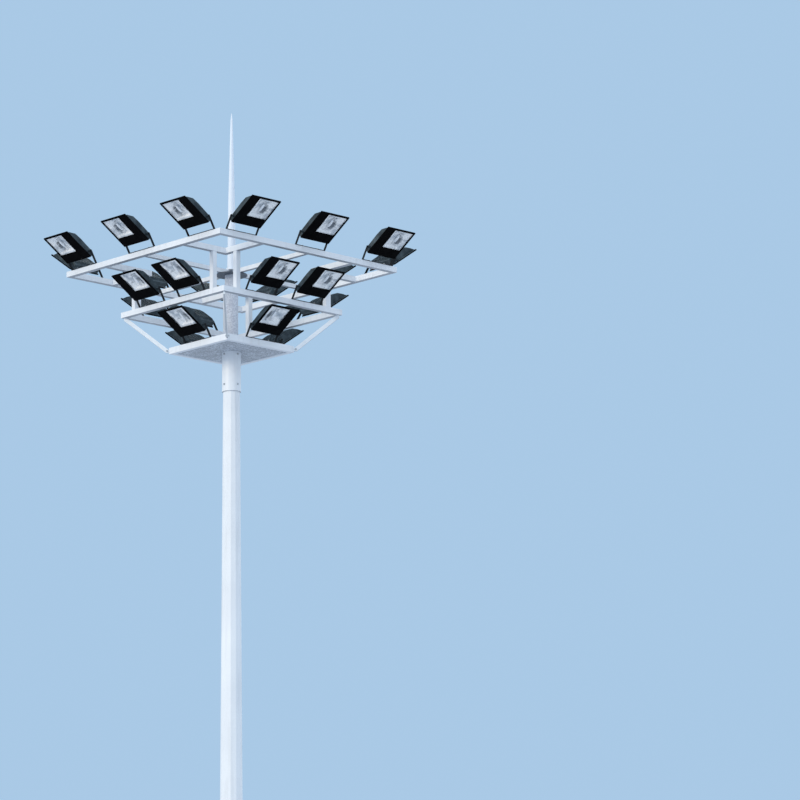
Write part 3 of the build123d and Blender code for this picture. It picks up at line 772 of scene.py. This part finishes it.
# Struts: a bolt through each foot, its head on one flank and its nut on the other
bolt_out = platform_high.x * sqrt(2) + STRUT_BOLT_OUT
bolt_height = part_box("corner_struts")[0].z + STRUT_BOLT_RISE
bm = bmesh.new()
for k in range(4):
    corner = Matrix.Rotation(radians(45 + 90 * k), 4, "Z")
    for hand, shank_rise in ((-1, 0.0), (1, 0.008)):
        flank = Matrix.Translation((bolt_out, hand * STRUT_HALF, bolt_height))
        bolt_head(bm, corner @ flank @ Matrix.Rotation(hand * radians(-90), 4, "X"), *STRUT_BOLT, shank_rise)
place_piece("strut_bolts", to_mesh(bm, "strut_bolts", [zinc_bolt]), "tower")

# Lightning spike: the bolts of its flange
beam_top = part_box("long_cross_beam")[1].z
seat = Matrix.Translation((SPIKE_BOLT_OUT, 0, beam_top + SPIKE_FLANGE))
bm = bmesh.new()
for k in range(4):
    bolt_head(bm, Matrix.Rotation(k * pi / 2, 4, "Z") @ seat, *SPIKE_BOLT, shank_rise=0.006)
place_piece("spike_bolts", to_mesh(bm, "spike_bolts", [zinc_bolt]), "tower")

# Floor, world, lights and camera
bm = bmesh.new()
bmesh.ops.create_circle(bm, cap_ends=True, segments=96, radius=FLOOR_RADIUS)
floor_mesh = bpy.data.meshes.new("floor")
bm.to_mesh(floor_mesh)
bm.free()
floor = bpy.data.objects.new("floor", floor_mesh)
bpy.context.scene.collection.objects.link(floor)
floor.location.z = -FLOOR_DROP
floor_material, tree, shader = new_material("floor_plain")
tree.links.new(blend_color(tree, noise(tree, 0.4), *FLOOR_COLORS), shader.inputs["Base Color"])
shader.inputs["Roughness"].default_value = 0.9
shader.inputs["Specular IOR Level"].default_value = 0.1
floor_mesh.materials.append(floor_material)


def glow(tree, color, strength):
    """Even light from all round."""
    node = tree.nodes.new("ShaderNodeBackground")
    node.inputs["Color"].default_value = (*color, 1)
    node.inputs["Strength"].default_value = strength
    return node.outputs["Background"]


def make_world():
    """World that lights the tower evenly and shows a plain pale background."""
    world = bpy.data.worlds.new("studio")
    bpy.context.scene.world = world
    world.use_nodes = True
    tree = world.node_tree
    tree.nodes.clear()
    rays = tree.nodes.new("ShaderNodeLightPath")
    seen = calculate(tree, "MAXIMUM", rays.outputs["Is Camera Ray"], rays.outputs["Is Glossy Ray"])
    seen = calculate(tree, "MAXIMUM", seen, rays.outputs["Is Transmission Ray"])
    choice = tree.nodes.new("ShaderNodeMixShader")
    tree.links.new(seen, choice.inputs["Fac"])
    tree.links.new(glow(tree, AMBIENT, AMBIENT_STRENGTH), choice.inputs[1])
    tree.links.new(glow(tree, BACKGROUND, 1.0), choice.inputs[2])
    world_out = tree.nodes.new("ShaderNodeOutputWorld")
    tree.links.new(choice.outputs["Shader"], world_out.inputs["Surface"])


def add_sun(name, azimuth, elevation, strength, color, softness):
    """Soft lamp from an azimuth, counted from the front towards the right side, and a height."""
    data = bpy.data.lights.new(name, "SUN")
    data.energy = strength
    data.color = color
    data.angle = radians(softness)
    lamp = bpy.data.objects.new(name, data)
    bpy.context.scene.collection.objects.link(lamp)
    a, e = radians(azimuth), radians(elevation)
    toward = Vector((sin(a) * cos(e), -cos(a) * cos(e), sin(e)))
    lamp.rotation_mode = "QUATERNION"
    lamp.rotation_quaternion = toward.to_track_quat("Z", "Y")


def make_camera():
    """Camera from its azimuth, yaw, pitch and roll."""
    forward = Vector((-sin(CAMERA_AZIMUTH), cos(CAMERA_AZIMUTH), 0))
    right = Vector((cos(CAMERA_AZIMUTH), sin(CAMERA_AZIMUTH), 0))
    level = forward * cos(CAMERA_YAW) + right * sin(CAMERA_YAW)
    right = right * cos(CAMERA_YAW) - forward * sin(CAMERA_YAW)
    up = Vector((0, 0, 1))
    look = level * cos(CAMERA_PITCH) + up * sin(CAMERA_PITCH)
    rise = up * cos(CAMERA_PITCH) - level * sin(CAMERA_PITCH)
    x_axis = right * cos(CAMERA_ROLL) + rise * sin(CAMERA_ROLL)
    y_axis = rise * cos(CAMERA_ROLL) - right * sin(CAMERA_ROLL)
    data = bpy.data.cameras.new("camera")
    data.lens = CAMERA_LENS
    data.sensor_width = CAMERA_SENSOR
    data.clip_start = 1
    data.clip_end = 1000
    camera = bpy.data.objects.new("camera", data)
    bpy.context.scene.collection.objects.link(camera)
    columns = (x_axis, y_axis, -look, CAMERA_SPOT)
    camera.matrix_world = Matrix([[column[row] for column in columns] for row in range(3)] + [[0, 0, 0, 1]])
    bpy.context.scene.camera = camera


make_world()
add_sun("key", azimuth=-5, elevation=20, strength=1.2, color=(1.0, 0.86, 0.66), softness=20)
add_sun("back", azimuth=215, elevation=30, strength=0.75, color=(1.0, 0.95, 0.88), softness=30)
make_camera()
bpy.context.scene.view_settings.view_transform = "Standard"
